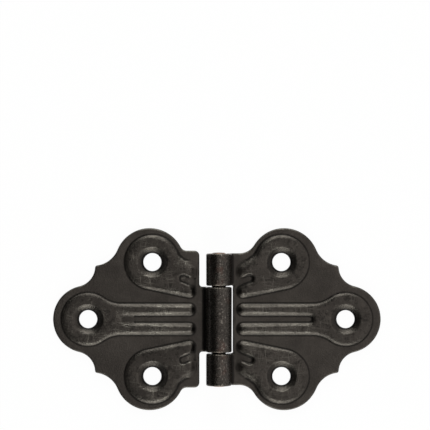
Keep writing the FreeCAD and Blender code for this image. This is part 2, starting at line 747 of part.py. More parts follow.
def main():
    doc = FreeCAD.newDocument("butterfly_hinge")
    sheet = make_sheet(doc)
    center_leaf = build_leaf(
        doc,
        sheet,
        label="center_knuckle_leaf",
        variant="center_leaf",
        bore="(Sizes.pin_diameter / 2 + Sizes.pin_play)",
        start="0",
        length="Sizes.middle_knuckle_length / 2",
        free_shoulders=True,
    )
    center_leaf.body.Placement.Rotation = FreeCAD.Rotation(FreeCAD.Vector(0, 0, 1), 180)
    twin_leaf = build_leaf(
        doc,
        sheet,
        label="twin_knuckle_leaf",
        variant="twin_leaf",
        bore="(Sizes.pin_diameter / 2)",
        start="Sizes.middle_knuckle_length / 2 + Sizes.knuckle_gap",
        length="Sizes.end_knuckle_length",
        free_shoulders=False,
    )
    pin = build_pin(doc, sheet)
    check(doc)
    os.makedirs("parts", exist_ok=True)
    for body in (center_leaf.body, twin_leaf.body, pin):
        body.Shape.exportStep(os.path.join("parts", f"{body.Label}.step"))


main()
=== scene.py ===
"""Dress the butterfly hinge: two stamped leaves of dark bronzed steel, rolled round a worn pin.

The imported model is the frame. Each piece is worked up from the solid that it stands for, in metres
and in the same place, and rides on that solid's body. X runs across the leaves, Y along the pin and
Z out of the front, with the backs of the leaves on the floor.
"""

import json
import logging
import math
from dataclasses import dataclass
from enum import Enum

import bmesh
import bpy
import numpy as np
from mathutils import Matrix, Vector, noise

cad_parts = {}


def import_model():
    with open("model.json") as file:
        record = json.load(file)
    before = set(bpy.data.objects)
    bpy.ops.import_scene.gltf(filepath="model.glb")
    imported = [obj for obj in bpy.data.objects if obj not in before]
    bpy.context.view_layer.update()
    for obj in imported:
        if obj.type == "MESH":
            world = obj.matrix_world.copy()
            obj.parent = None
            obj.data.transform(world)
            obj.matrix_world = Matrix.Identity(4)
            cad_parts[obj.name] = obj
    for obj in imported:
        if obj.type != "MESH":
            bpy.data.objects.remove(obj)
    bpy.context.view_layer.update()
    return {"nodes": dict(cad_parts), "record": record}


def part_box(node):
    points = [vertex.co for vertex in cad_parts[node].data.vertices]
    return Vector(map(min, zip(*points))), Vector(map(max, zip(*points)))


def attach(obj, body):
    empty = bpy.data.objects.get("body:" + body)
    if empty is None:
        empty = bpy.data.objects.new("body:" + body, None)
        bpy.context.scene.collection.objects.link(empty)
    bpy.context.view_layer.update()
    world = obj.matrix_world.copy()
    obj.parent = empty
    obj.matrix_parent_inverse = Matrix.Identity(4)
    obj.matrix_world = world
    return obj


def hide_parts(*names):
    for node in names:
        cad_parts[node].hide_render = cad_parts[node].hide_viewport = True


LOG = logging.getLogger("butterfly_hinge")
MM = 0.001

Color = tuple[float, float, float]
Range = tuple[float, float]
Vertices = list[bmesh.types.BMVert]
Socket = bpy.types.NodeSocket
Setting = float | int | str | bool | tuple | Socket


class Mask(Enum):
    """Masks that a leaf's mesh carries for its finish, from 0 to 1 at each vertex."""

    WEAR = "edge_wear"
    RECESS = "recess"
    RAISED = "raised"
    # Painted shade on sheared walls, hole rims, shoulders, knuckle faces and finger ends.
    CUT = "painted_edge_shade"
    BARREL = "barrel"
    # Rubbed ends of the knuckles and the pin, which also carry a painted highlight.
    RUB_AND_SHINE = "end_rub_and_shine"


class Reading(Enum):
    """What is read at each vertex of a mesh."""

    PLACE = "co"
    FACING = "normal"


class Graph:
    """A node tree, with short calls that add nodes and join them."""

    def __init__(self, tree: bpy.types.NodeTree) -> None:
        """Take the tree to work on."""
        self.tree = tree

    def add(
        self,
        kind: str,
        inputs: dict[str | int, Setting] | None = None,
        **settings: Setting,
    ) -> bpy.types.Node:
        """Add a node.

        Args:
            kind: The node's type.
            inputs: A value for each input socket, by name or number, or the output to join to it.
            settings: The node's own options.

        Returns:
            The new node.
        """
        node = self.tree.nodes.new(kind)
        for name, value in settings.items():
            setattr(node, name, value)
        for name, value in (inputs or {}).items():
            self.feed(node.inputs[name], value)
        return node

    def feed(self, socket: Socket, value: Setting) -> None:
        """Join an output to a socket, or set the socket to a plain value.

        Args:
            socket: The socket to feed.
            value: The output or the plain value.
        """
        if isinstance(value, Socket):
            self.tree.links.new(value, socket)
        elif isinstance(value, tuple) and len(value) == 3 and socket.type == "RGBA":
            socket.default_value = (*value, 1)
        else:
            socket.default_value = value

    def object_place(self) -> Socket:
        """Place on the object, in metres."""
        return self.add("ShaderNodeTexCoord").outputs["Object"]

    def mask(self, mask: Mask) -> Socket:
        """One of the masks that the mesh carries."""
        return self.add("ShaderNodeAttribute", attribute_name=mask.value).outputs["Fac"]

    def math(
        self,
        operation: str,
        first: Setting,
        second: Setting = 0.0,
        clamp: bool = False,
    ) -> Socket:
        """Result of a sum on one or two values."""
        node = self.add("ShaderNodeMath", {0: first, 1: second}, operation=operation, use_clamp=clamp)
        return node.outputs["Value"]

    def blend(self, share: Setting, first: Setting, second: Setting) -> Socket:
        """Color between two colors, by a share from 0 to 1."""
        inputs = {0: share, 6: first, 7: second}
        return self.add("ShaderNodeMix", inputs, data_type="RGBA").outputs[2]

    def spread(
        self,
        value: Setting,
        low: float,
        high: float,
        start: float = 0.0,
        end: float = 1.0,
    ) -> Socket:
        """Value stretched from one range to another and held inside it."""
        inputs = {"Value": value, "From Min": low, "From Max": high, "To Min": start, "To Max": end}
        return self.add("ShaderNodeMapRange", inputs, interpolation_type="SMOOTHSTEP").outputs["Result"]

    def clouds(self, place: Setting, size: float, detail: float = 3.0, rough: float = 0.55) -> Socket:
        """Soft noise with blotches of about one size, in metres."""
        inputs = {"Vector": place, "Scale": 1 / size, "Detail": detail, "Roughness": rough}
        return self.add("ShaderNodeTexNoise", inputs).outputs["Fac"]

    def turned(self, place: Setting, turn: float, stretch: tuple[float, float, float]) -> Socket:
        """Place turned about Z and then squeezed, for marks that are longer along one axis."""
        inputs = {"Vector": place, "Rotation": (0, 0, math.radians(turn)), "Scale": stretch}
        return self.add("ShaderNodeMapping", inputs, vector_type="TEXTURE").outputs["Vector"]


class Effect:
    """A shader effect that several finishes share, kept as a node group."""

    def __init__(self, name: str) -> None:
        """Start an empty group."""
        self.tree = bpy.data.node_groups.new(name, "ShaderNodeTree")
        self.graph = Graph(self.tree)
        self.given = self.tree.nodes.new("NodeGroupInput")
        self.result = self.tree.nodes.new("NodeGroupOutput")

    def takes(self, name: str, value: float) -> Socket:
        """Add an input.

        Args:
            name: The input's name.
            value: Its usual value.

        Returns:
            The input, as the group's nodes read it.
        """
        socket = self.tree.interface.new_socket(name, in_out="INPUT", socket_type="NodeSocketFloat")
        socket.default_value = value
        return self.given.outputs[name]

    def gives(self, name: str, source: Socket) -> None:
        """Add an output."""
        self.tree.interface.new_socket(name, in_out="OUTPUT", socket_type="NodeSocketFloat")
        self.tree.links.new(source, self.result.inputs[name])

    def place(self, graph: Graph, inputs: dict[str, Setting]) -> bpy.types.Node:
        """Put the effect into a material.

        Args:
            graph: The material's nodes.
            inputs: A value for each of the effect's inputs.

        Returns:
            The group's node, with the effect's outputs.
        """
        node = graph.add("ShaderNodeGroup", node_tree=self.tree)
        for name, value in inputs.items():
            graph.feed(node.inputs[name], value)
        return node


class Patina(Effect):
    """Uneven tone of a chemically darkened surface: broad clouds and a fine grain."""

    cloud_size: float = 5.0 * MM
    cloud_range: Range = (0.3, 0.7)
    grain_size: float = 0.35 * MM
    grain_range: Range = (0.35, 0.65)
    middle: float = 0.5

    def __init__(self) -> None:
        """Build the group."""
        super().__init__("patina")
        contrast = self.takes("Contrast", 1.0)
        place = self.graph.object_place()
        cloud = self.graph.clouds(place, self.cloud_size, detail=4)
        grain = self.graph.clouds(place, self.grain_size, detail=2, rough=0.7)
        centred = self.graph.math("SUBTRACT", self.graph.spread(cloud, *self.cloud_range), self.middle)
        scaled = self.graph.math("MULTIPLY", centred, contrast)
        self.gives("Cloud", self.graph.math("ADD", scaled, self.middle, clamp=True))
        self.gives("Grain", self.graph.spread(grain, *self.grain_range))


class Scuffs(Effect):
    """Fine light scratches and rubbed specks from handling."""

    scratch_width: float = 0.27 * MM
    scratch_stretch: float = 24.0
    scratch_turns: tuple[float, ...] = (6.0, 79.0, 98.0, 171.0)
    scratch_range: Range = (0.60, 0.70)
    patch_size: float = 6.0 * MM
    patch_range: Range = (0.43, 0.62)
    speck_size: float = 0.7 * MM
    speck_range: Range = (0.55, 0.74)

    def __init__(self) -> None:
        """Build the group."""
        super().__init__("scuffs")
        amount = self.takes("Amount", 0.5)
        graph = self.graph
        place = graph.object_place()
        lines = None
        for turn in self.scratch_turns:
            run = graph.turned(place, turn, (self.scratch_stretch, 1.0, 1.0))
            streak = graph.spread(graph.clouds(run, self.scratch_width, detail=1), *self.scratch_range)
            lines = streak if lines is None else graph.math("MAXIMUM", lines, streak)
        where = graph.spread(graph.clouds(place, self.patch_size, detail=2), *self.patch_range)
        specks = graph.clouds(place, self.speck_size, detail=4, rough=0.75)
        specks = graph.spread(specks, *self.speck_range)
        both = graph.math("MAXIMUM", graph.math("MULTIPLY", lines, where), specks)
        self.gives("Mask", graph.math("MULTIPLY", both, amount, clamp=True))


class EdgeWear(Effect):
    """Convex edges rubbed lighter, in broken stretches."""

    break_size: float = 1.6 * MM
    break_range: Range = (0.3, 0.65)
    edge_range: Range = (0.15, 0.9)

    def __init__(self) -> None:
        """Build the group."""
        super().__init__("edge_wear")
        amount = self.takes("Amount", 0.6)
        place = self.graph.object_place()
        broken = self.graph.clouds(place, self.break_size, detail=4, rough=0.65)
        broken = self.graph.spread(broken, *self.break_range)
        edge = self.graph.spread(self.graph.mask(Mask.WEAR), *self.edge_range)
        worn = self.graph.math("MULTIPLY", edge, broken)
        self.gives("Mask", self.graph.math("MULTIPLY", worn, amount, clamp=True))


@dataclass
class Layers:
    """Values over a leaf's surface that its finish is mixed from, each from 0 to 1.

    Attributes:
        cloud: Broad unevenness of the tone.
        grain: Fine grain.
        scuff: Scratches and rubbed specks.
        worn: Rubbed edges.
        mottle: Dark blotches on the raised pattern.
        glint_fleck: Painted glints: short bright flecks on the barrel's lit side, which also stand in the
            relief.
        line: Dark lines along the barrel, left by rolling.
        patch: Brown patches on the barrel, where the finish is thin.
    """

    cloud: Socket
    grain: Socket
    scuff: Socket
    worn: Socket
    mottle: Socket
    glint_fleck: Socket
    line: Socket
    patch: Socket


@dataclass(frozen=True)
class BronzedSteel:
    """Finish of the leaves: steel darkened to a brown black, rubbed lighter where it is handled.

    A range holds the two values between which a layer fades in, and a share how much of it shows.

    Attributes:
        dark: Darkest color of the ground.
        light: Lightest color of the ground.
        deep: Color of blotches, lines, darker hollows and the painted shade on edges.
        worn: Color of scuffs and rubbed edges.
        russet: Color of the brown patches.
        rubbed: Color of the knuckles' rubbed ends, partly a painted highlight.
        glint_color: Color of the painted glints on the barrel.
        metallic: How metallic the surface is.
        roughness: Roughness of the surface.
        haze: Least and most roughness that the grain adds.
        polish: Roughness that rubbing adds, below 0 because it takes some away.
        bump_depth: Depth of the relief.
        scuff_height: Height of a scuff in the relief.
        fleck_height: Height of each of the barrel's flecks in the relief.
        grain_share: How much the grain shows.
        barrel_handling: How much the barrel is handled, where the raised pattern is 1.
        scuff_range: Handling over which the scuffs grow.
        scuff_amounts: Least and most scuffs.
        side_range: Places across the barrel over which one side's scuffs give way to the other's.
        side_scuffs: How much each side is scuffed.
        wear_amount: How much the edges are rubbed.
        mottle_size: Size of the blotches.
        mottle_range: Noise over which they show.
        mottle_handling: Handling over which they show.
        mottle_share: How dark they are.
        fleck_size: Width of the flecks.
        fleck_stretch: Their length over their width.
        fleck_range: Noise over which they show.
        glint_left: Places across the barrel where the painted glints start, on its lit side.
        glint_right: Places across the barrel where the painted glints thin out, from the far one.
        glint_least: Share of the painted glints that is left past there.
        glint_share: How bright the painted glints are.
        line_size: Width of the lines.
        line_stretch: Their length over their width.
        line_range: Noise over which they show.
        line_share: How dark they are.
        patch_size: Size of the brown patches.
        patch_range: Noise over which they show.
        patch_share: How brown they are.
        rub_and_shine_share: How strongly the knuckles' ends show their rubbed color and painted highlight.
        hollow_dark_range: Depth of a hollow over which it darkens.
        hollow_dark_share: How dark the hollows get.
        edge_shade_share: How dark the painted shade on the edges is.
    """

    dark: Color = (0.0421, 0.0366, 0.0329)
    light: Color = (0.0614, 0.0536, 0.0478)
    deep: Color = (0.009, 0.008, 0.0075)
    worn: Color = (0.185, 0.170, 0.148)
    russet: Color = (0.075, 0.044, 0.036)
    rubbed: Color = (0.150, 0.120, 0.098)
    glint_color: Color = (0.400, 0.360, 0.320)
    metallic: float = 0.92
    roughness: float = 0.34
    haze: Range = (-0.05, 0.07)
    polish: float = -0.08
    bump_depth: float = 0.02 * MM
    scuff_height: float = -0.8
    fleck_height: float = 0.7
    grain_share: float = 0.3
    barrel_handling: float = 0.5
    scuff_range: Range = (0.0, 0.8)
    scuff_amounts: Range = (0.08, 0.62)
    side_range: Range = (-4.0 * MM, 4.0 * MM)
    side_scuffs: Range = (0.85, 0.5)
    wear_amount: float = 0.3
    mottle_size: float = 1.1 * MM
    mottle_range: Range = (0.5, 0.36)
    mottle_handling: Range = (0.1, 0.7)
    mottle_share: float = 0.5
    fleck_size: float = 0.32 * MM
    fleck_stretch: float = 2.4
    fleck_range: Range = (0.55, 0.66)
    glint_left: Range = (-1.0 * MM, 0.4 * MM)
    glint_right: Range = (2.7 * MM, 1.1 * MM)
    glint_least: float = 0.25
    glint_share: float = 0.48
    line_size: float = 0.5 * MM
    line_stretch: float = 14.0
    line_range: Range = (0.56, 0.40)
    line_share: float = 0.28
    patch_size: float = 3.6 * MM
    patch_range: Range = (0.55, 0.70)
    patch_share: float = 0.65
    rub_and_shine_share: float = 0.6
    hollow_dark_range: Range = (0.08, 0.9)
    hollow_dark_share: float = 0.85
    edge_shade_share: float = 0.9

    def material(self, patina: Patina, scuffs: Scuffs, wear: EdgeWear) -> bpy.types.Material:
        """Make the finish's material.

        Args:
            patina: The uneven tone.
            scuffs: The scratches and specks.
            wear: The rubbed edges.

        Returns:
            The material.
        """
        made = bpy.data.materials.new("bronzed_steel")
        made.use_nodes = True
        graph = Graph(made.node_tree)
        shader = made.node_tree.nodes["Principled BSDF"]
        layers = self.layers(graph, patina, scuffs, wear)
        graph.feed(shader.inputs["Base Color"], self.color(graph, layers))
        graph.feed(shader.inputs["Roughness"], self.gloss(graph, layers))
        graph.feed(shader.inputs["Normal"], self.relief(graph, layers))
        shader.inputs["Metallic"].default_value = self.metallic
        return made

    def layers(self, graph: Graph, patina: Patina, scuffs: Scuffs, wear: EdgeWear) -> Layers:
        """Work out the values that the finish is mixed from.

        Args:
            graph: The material's nodes.
            patina: The uneven tone.
            scuffs: The scratches and specks.
            wear: The rubbed edges.

        Returns:
            The values.
        """
        place = graph.object_place()
        barrel = graph.mask(Mask.BARREL)
        tone = patina.place(graph, {"Contrast": 1.0})
        handled = graph.math("MULTIPLY", barrel, self.barrel_handling)
        handled = graph.math("MAXIMUM", graph.mask(Mask.RAISED), handled)
        across = graph.add("ShaderNodeSeparateXYZ", {0: place}).outputs["X"]
        side = graph.spread(across, *self.side_range, *self.side_scuffs)
        amount = graph.spread(handled, *self.scuff_range, *self.scuff_amounts)
        amount = graph.math("MULTIPLY", amount, side)
        # Painted glints: the flecks show on the barrel's middle and right, where the light falls, and fade
        # to the left.
        lit = graph.math("MULTIPLY", barrel, graph.spread(across, *self.glint_left))
        lit = graph.math("MULTIPLY", lit, graph.spread(across, *self.glint_right, self.glint_least))
        blotches = graph.clouds(place, self.mottle_size, detail=4, rough=0.65)
        blotches = graph.spread(blotches, *self.mottle_range)
        run = graph.turned(place, 0.0, (1.0, self.fleck_stretch, 1.0))
        flecks = graph.spread(graph.clouds(run, self.fleck_size, detail=3, rough=0.7), *self.fleck_range)
        rolled = graph.turned(place, 0.0, (1.0, self.line_stretch, 1.0))
        lines = graph.spread(graph.clouds(rolled, self.line_size, detail=2), *self.line_range)
        patches = graph.clouds(place, self.patch_size, detail=3)
        patches = graph.spread(patches, *self.patch_range, end=self.patch_share)
        return Layers(
            cloud=tone.outputs["Cloud"],
            grain=tone.outputs["Grain"],
            scuff=scuffs.place(graph, {"Amount": amount}).outputs["Mask"],
            worn=wear.place(graph, {"Amount": self.wear_amount}).outputs["Mask"],
            mottle=graph.math("MULTIPLY", graph.spread(handled, *self.mottle_handling), blotches),
            glint_fleck=graph.math("MULTIPLY", lit, flecks),
            line=graph.math("MULTIPLY", barrel, lines),
            patch=graph.math("MULTIPLY", barrel, patches),
        )

    def color(self, graph: Graph, layers: Layers) -> Socket:
        """Mix the color of the surface, from its darkened ground to its darker hollows, with painted
        glints on the barrel, painted shade on its edges and a painted highlight on the knuckles' rubbed
        ends.

        Args:
            graph: The material's nodes.
            layers: The values to mix it from.

        Returns:
            The color.
        """
        color = graph.blend(layers.cloud, self.dark, self.light)
        coats = (
            (graph.math("MULTIPLY", layers.grain, self.grain_share), self.light),
            (layers.patch, self.russet),
            (graph.math("MULTIPLY", layers.mottle, self.mottle_share), self.deep),
            (graph.math("MULTIPLY", layers.line, self.line_share), self.deep),
            # Painted glints on the barrel.
            (graph.math("MULTIPLY", layers.glint_fleck, self.glint_share), self.glint_color),
            (layers.scuff, self.worn),
            (layers.worn, self.worn),
            # Knuckles' ends rubbed lighter, partly a painted highlight.
            (graph.math("MULTIPLY", graph.mask(Mask.RUB_AND_SHINE), self.rub_and_shine_share), self.rubbed),
            # Hollows and creases darker, the deeper they bend.
            (graph.spread(graph.mask(Mask.RECESS), *self.hollow_dark_range, end=self.hollow_dark_share), self.deep),
            # Painted shade on the sheared walls, the holes' rims, the shoulders, the knuckles' faces and
            # the fingers' ends.
            (graph.math("MULTIPLY", graph.mask(Mask.CUT), self.edge_shade_share), self.deep),
        )
        for share, coat in coats:
            color = graph.blend(share, color, coat)
        return color

    def gloss(self, graph: Graph, layers: Layers) -> Socket:
        """Work out the roughness of the surface, smoother where it is rubbed.

        Args:
            graph: The material's nodes.
            layers: The values to mix it from.

        Returns:
            The roughness.
        """
        rubbed = graph.math("ADD", graph.math("ADD", layers.worn, layers.scuff), graph.mask(Mask.BARREL))
        polish = graph.math("MULTIPLY", rubbed, self.polish)
        least, most = self.haze
        haze = graph.spread(layers.grain, 0.0, 1.0, self.roughness + least, self.roughness + most)
        return graph.math("ADD", haze, polish, clamp=True)

    def relief(self, graph: Graph, layers: Layers) -> Socket:
        """Work out the normal of the surface, with its grain, its scratches and the barrel's flecks.

        Args:
            graph: The material's nodes.
            layers: The values to mix it from.

        Returns:
            The normal.
        """
        height = graph.math("ADD", layers.grain, graph.math("MULTIPLY", layers.scuff, self.scuff_height))
        height = graph.math("ADD", height, graph.math("MULTIPLY", layers.glint_fleck, self.fleck_height))
        inputs = {"Strength": 1.0, "Distance": self.bump_depth, "Height": height}
        return graph.add("ShaderNodeBump", inputs).outputs["Normal"]


@dataclass(frozen=True)
class PinSteel:
    """Finish of the pin: uncoated steel, browned with age and bright on its hammered ends, which also
    carry a painted highlight.

    Attributes:
        brown: Color of the browned steel.
        bright: Color of the ends, partly a painted highlight.
        metallic: How metallic the surface is.
        roughness: Roughness of the surface.
        haze: Least and most roughness that the grain adds.
        contrast: Contrast of the uneven tone.
        scuff_share: How much the ends are scuffed.
        bump_depth: Depth of the relief.
        bump_strength: Strength of the relief.
    """

    brown: Color = (0.020, 0.016, 0.014)
    bright: Color = (0.520, 0.310, 0.200)
    metallic: float = 1.0
    roughness: float = 0.27
    haze: Range = (-0.06, 0.1)
    contrast: float = 0.8
    scuff_share: float = 0.6
    bump_depth: float = 0.02 * MM
    bump_strength: float = 0.3

    def material(self, patina: Patina, scuffs: Scuffs) -> bpy.types.Material:
        """Make the finish's material.

        Args:
            patina: The uneven tone.
            scuffs: The scratches and specks.

        Returns:
            The material.
        """
        made = bpy.data.materials.new("pin_steel")
        made.use_nodes = True
        graph = Graph(made.node_tree)
        shader = made.node_tree.nodes["Principled BSDF"]
        tone = patina.place(graph, {"Contrast": self.contrast})
        grain = tone.outputs["Grain"]
        ends = graph.mask(Mask.RUB_AND_SHINE)
        amount = graph.math("MULTIPLY", ends, self.scuff_share)
        scuff = scuffs.place(graph, {"Amount": amount}).outputs["Mask"]
        # The ends take the bright color: hammered steel, partly a painted highlight.
        color = graph.blend(graph.math("MULTIPLY", ends, tone.outputs["Cloud"]), self.brown, self.bright)
        color = graph.blend(scuff, color, self.bright)
        graph.feed(shader.inputs["Base Color"], color)
        least, most = self.haze
        haze = graph.spread(grain, 0.0, 1.0, self.roughness + least, self.roughness + most)
        graph.feed(shader.inputs["Roughness"], haze)
        shader.inputs["Metallic"].default_value = self.metallic
        height = graph.math("ADD", grain, scuff)
        inputs = {"Strength": self.bump_strength, "Distance": self.bump_depth, "Height": height}
        graph.feed(shader.inputs["Normal"], graph.add("ShaderNodeBump", inputs).outputs["Normal"])
        return made


def rising(values: np.ndarray, start: float, width: float) -> np.ndarray:
    """Shares that rise from 0 at a start to 1 a width past it."""
    return np.clip((values - start) / width, 0, 1)


def falling(values: np.ndarray, end: float, width: float) -> np.ndarray:
    """Shares that fall from 1 a width before an end to 0 there."""
    return np.clip((end - values) / width, 0, 1)


def store_mask(mesh: bpy.types.Mesh, mask: Mask, values: np.ndarray) -> None:
    """Keep a mask on a mesh, one value a vertex."""
    kept = mesh.attributes.new(mask.value, "FLOAT", "POINT")
    kept.data.foreach_set("value", values.astype(np.float32))


def vertex_rows(mesh: bpy.types.Mesh, reading: Reading) -> np.ndarray:
    """Read the places or the directions of a mesh's vertices.

    Args:
        mesh: The mesh.
        reading: What to read.

    Returns:
        One row a vertex.
    """
    rows = np.empty(len(mesh.vertices) * 3, np.float32)
    mesh.vertices.foreach_get(reading.value, rows)
    return rows.reshape(-1, 3).astype(float)


@dataclass(frozen=True)
class Barrel:
    """The rolled barrel: one knuckle between two others, round the pin.

    Attributes:
        radius: Outside radius of the knuckles.
        axis_height: Height of the pin's axis.
        half_length: Half the barrel's length.
        middle_half: Half the middle knuckle's length.
        gap: Gap between two knuckles.
    """

    radius: float = 3.0 * MM
    axis_height: float = 3.0 * MM
    half_length: float = 15.3 * MM
    middle_half: float = 7.55 * MM
    gap: float = 0.3 * MM

    def middle(self) -> list[float]:
        """Where the middle knuckle starts and ends along the pin."""
        return [-self.middle_half, self.middle_half]

    def outer(self) -> list[float]:
        """Where the two outer knuckles start and end along the pin."""
        inner = self.middle_half + self.gap
        return [-self.half_length, -inner, inner, self.half_length]

    def across(self, places: np.ndarray) -> np.ndarray:
        """Distance of each place from the pin's axis."""
        return np.hypot(places[:, 0], places[:, 2] - self.axis_height)


@dataclass(frozen=True)
class LeafMasks:
    """How the masks for a leaf's finish are drawn.

    A range holds where a mask starts or ends, and the width over which it fades.

    Attributes:
        full_wear: Bend at which an edge is fully worn.
        full_hollow_dark: Bend at which a hollow is darkest.
        bend_passes: Passes that even out the bend.
        raised_height: Height over the sheet at which the pattern is fully raised.
        barrel_edge: Distance past the knuckles' radius at which the barrel ends.
        rub_width: Width of the bright line at a knuckle's ends, rubbed and partly a painted highlight.
        rub_edge: Distance past the knuckles' radius at which that line starts.
        wall_start: Distance past the knuckles' radius at which the flat of the leaf starts.
        wall_facing: Upward part of the normal at which the painted shade on a sheared wall ends.
        shoulder_facing: Upward part of the normal at which the painted shade on the shoulder beside the
            barrel ends.
        rim_edge: Distance past a hole's radius at which its rim of painted shade ends.
        gap_facing: Part of the normal along the pin at which the painted shade on a knuckle's face starts.
        tip_facing: Part of the normal towards the pin at which the painted shade on a finger's end starts.
        tip_aside: Part of the normal along the pin at which the painted shade on a finger's end stops.
        tip_band: Middle of the fingers' ends, from the fingers' start, and half their length.
        tip_inner: Width of the petals' inner fingers.
        tip_shares: How dark the painted shade on the ends of the inner and the outer fingers is.
    """

    full_wear: float = 0.076
    full_hollow_dark: float = 0.049
    bend_passes: int = 2
    raised_height: float = 0.5 * MM
    barrel_edge: Range = (0.25 * MM, 0.2 * MM)
    rub_width: float = 0.25 * MM
    rub_edge: Range = (-0.5 * MM, 0.3 * MM)
    wall_start: float = 0.3 * MM
    wall_facing: Range = (0.75, 0.3)
    shoulder_facing: Range = (0.97, 0.2)
    rim_edge: Range = (0.6 * MM, 0.3 * MM)
    gap_facing: Range = (0.7, 0.2)
    tip_facing: Range = (0.22, 0.25)
    tip_aside: Range = (0.4, 0.25)
    tip_band: Range = (0.2 * MM, 0.8 * MM)
    tip_inner: float = 1.1 * MM
    tip_shares: Range = (0.85, 0.25)


@dataclass
class StampedLeaf:
    """One leaf: sheet cut to outline, stamped with petals and a forked rib, and rolled into knuckles.

    Attributes:
        node: The solid that the leaf stands for.
        body: The body that it rides on.
        slot: The record's slot for its finish; not used.
        barrel: The barrel that its knuckles are part of.
        knuckle_ends: Where its knuckles start and end along the pin.
        finger_start: Distance from the pin at which the raised fingers start.
        crest_steps: Distances past the fingers' starts, with the passes that round the crests from there.
        tip_passes: Passes that round the fingers' tips further.
        fade_passes: Passes that fade the petals' fingers into the sheet.
        outer_passes: Passes that fade the petals' outer fingers further.
        channel_passes: Passes that fade the outer end of the rib's channel.
        slot_floor: Height of the floor of a petal's slot, past its mouth.
        slot_mouth: Length of the mouth, over which the floor and the fingers rise.
        edge_shift: Distance that the straight edge beside the middle knuckle is drawn towards the pin.
        holes: Middle of each screw hole.
        masks: How the masks for its finish are drawn.
        sheet: Thickness of the sheet.
        cell: Side of a mesh cell.
        join: Distance within which corners of the solid's loose triangles are one.
        front_facing: Least upward part of the normal on the front.
        front_depth: How far below the sheet's face the front still counts.
        face_slack: How far from the sheet's face a vertex still lies on it.
        foot: Height of the crisp foot of the raised pattern.
        hole_radius: Radius of a screw hole.
        hole_rim: Width of the rim round a hole that is drawn in to the hole's radius.
        hole_lip: Width of the lip round a hole that the dish leaves alone.
        sink_radius: Radius of a countersink.
        sink_slope: Fall of a countersink's wall.
        crest_ring: Radii between which the crest round a hole is flat.
        dish_radius: Radius of the soft dish that is pressed round a screw hole.
        dish_passes: Passes that soften the dishes.
        tip_length: Length of the fingers' rounded tips.
        petal_inside: Distance of the petals from the middle of the leaf.
        petal_outside: Distance of the outer fingers' far sides from the middle of the leaf.
        petal_reach: Where the petals' fingers and slots start and end, past the fingers' start.
        rise: Height of the raised pattern at the fingers.
        fall: Height that it loses for each metre outwards.
        channel_end: Distance from the pin to the outer end of the rib's channel.
        channel_half: Half the length and half the width of the channel's end.
        slot_end: Middle of a petal's slot at its round end, from the fingers' start and the leaf's middle.
        slot_lean: Angle of the slot to the leaf, in degrees.
        slot_half: Half the width of the slot's floor.
        slot_wall: Width of the slot's walls.
        slot_climb: Height that the slot's floor gains for each metre outwards.
        slot_round: How far round the slot the fingers are worked, in half widths with its wall.
        edge_reach: Distance from the pin at which the drawn edge ends, and the width over which it fades.
        edge_half: Half the length of the drawn edge, and the width over which it fades.
        even_passes: Passes that even out the whole surface.
        wave_size: Length of the waves that the press leaves in the surface.
        wave_depth: Depth of those waves.
        ripple_rate: How many ripples there are to a wave.
        ripple_share: Depth of a ripple, where a wave is 1.
    """

    node: str
    body: str
    slot: str
    barrel: Barrel
    knuckle_ends: list[float]
    finger_start: float
    crest_steps: tuple[tuple[float, int], ...]
    tip_passes: int
    fade_passes: int
    outer_passes: int
    channel_passes: int
    slot_floor: float
    slot_mouth: float
    edge_shift: float
    holes: list[Vector]
    masks: LeafMasks = LeafMasks()
    sheet: float = 1.3 * MM
    cell: float = 0.185 * MM
    join: float = 0.001 * MM
    front_facing: float = 0.2
    front_depth: float = 0.1 * MM
    face_slack: float = 0.02 * MM
    foot: float = 0.12 * MM
    hole_radius: float = 2.075 * MM
    hole_rim: float = 0.4 * MM
    hole_lip: float = 0.2 * MM
    sink_radius: float = 3.5 * MM
    sink_slope: float = 1.1
    crest_ring: Range = (4.2 * MM, 4.7 * MM)
    dish_radius: float = 4.2 * MM
    dish_passes: int = 5
    tip_length: float = 2.2 * MM
    petal_inside: float = 6.3 * MM
    petal_outside: float = 13.6 * MM
    petal_reach: Range = (-0.4 * MM, 4.5 * MM)
    rise: float = 0.82 * MM
    fall: float = 0.034
    channel_end: float = 21.9 * MM
    channel_half: Range = (2.2 * MM, 2.0 * MM)
    slot_end: Range = (2.75 * MM, 9.45 * MM)
    slot_lean: float = 22.0
    slot_half: float = 0.85 * MM
    slot_wall: float = 0.35 * MM
    slot_climb: float = 0.03
    slot_round: float = 1.5
    edge_reach: Range = (5.0 * MM, 1.3 * MM)
    edge_half: Range = (7.9 * MM, 0.6 * MM)
    even_passes: int = 2
    wave_size: float = 5.0 * MM
    wave_depth: float = 0.02 * MM
    ripple_rate: float = 4.0
    ripple_share: float = 0.35

    def build(self, solid: bpy.types.Object, finish: bpy.types.Material) -> bpy.types.Object:
        """Make the leaf's piece and dress it.

        Args:
            solid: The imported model's node.
            finish: The leaf's material.

        Returns:
            The piece, in place.
        """
        piece = bpy.data.objects.new(f"{self.node}_stamping", self.merged(solid))
        bpy.context.scene.collection.objects.link(piece)
        self.divide(piece)
        self.work(piece.data)
        self.mark(piece.data)
        piece.data.materials.append(finish)
        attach(piece, self.body)
        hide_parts(self.node)
        return piece

    def merged(self, solid: bpy.types.Object) -> bpy.types.Mesh:
        """Copy the solid's mesh, with its loose triangles joined.

        Args:
            solid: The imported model's node.

        Returns:
            The copy.
        """
        shape = bmesh.new()
        shape.from_mesh(solid.data)
        bmesh.ops.remove_doubles(shape, verts=shape.verts, dist=self.join)
        mesh = bpy.data.meshes.new(f"{self.node}_stamping")
        shape.to_mesh(mesh)
        shape.free()
        return mesh

